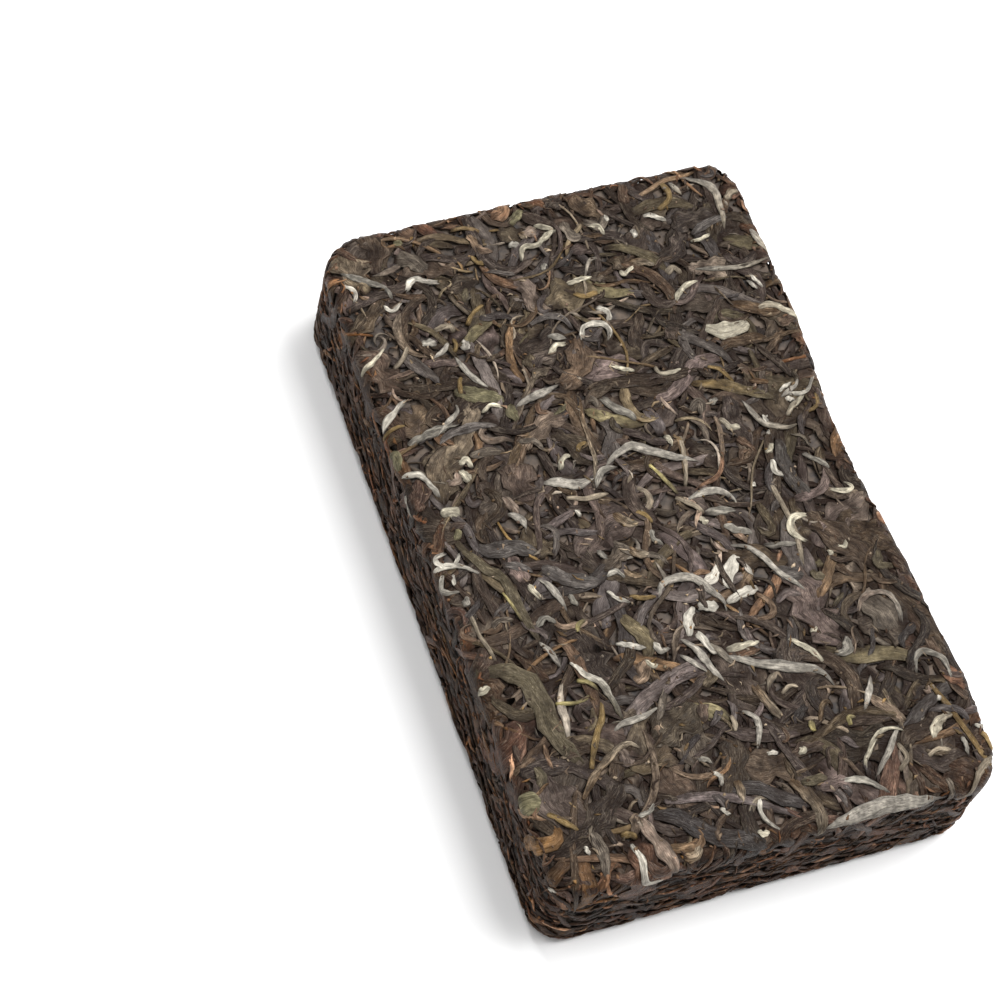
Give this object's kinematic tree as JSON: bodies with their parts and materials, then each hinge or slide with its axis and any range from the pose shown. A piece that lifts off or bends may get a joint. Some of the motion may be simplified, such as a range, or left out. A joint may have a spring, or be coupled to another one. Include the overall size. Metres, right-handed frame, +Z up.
{
  "type": "pressed tea brick",
  "caption": "Flat rectangular brick of pressed dark loose-leaf tea with rounded corners and a rough leafy surface, broken apart to brew.",
  "frame": {"origin": "middle of the flat underside, at the bottom centre of the brick's box", "axes": "+X across the width, +Y along the length, +Z up through the thickness"},
  "size_m": [0.0906, 0.1438, 0.025],
  "materials": {
    "pressed_tea": "matt pressed dried tea leaves, dark brown to black with grey sheen, golden stems and silver buds"
  },
  "bodies": {
    "root": {"pressed_tea_brick": "pressed_tea"}
  },
  "joints": []
}
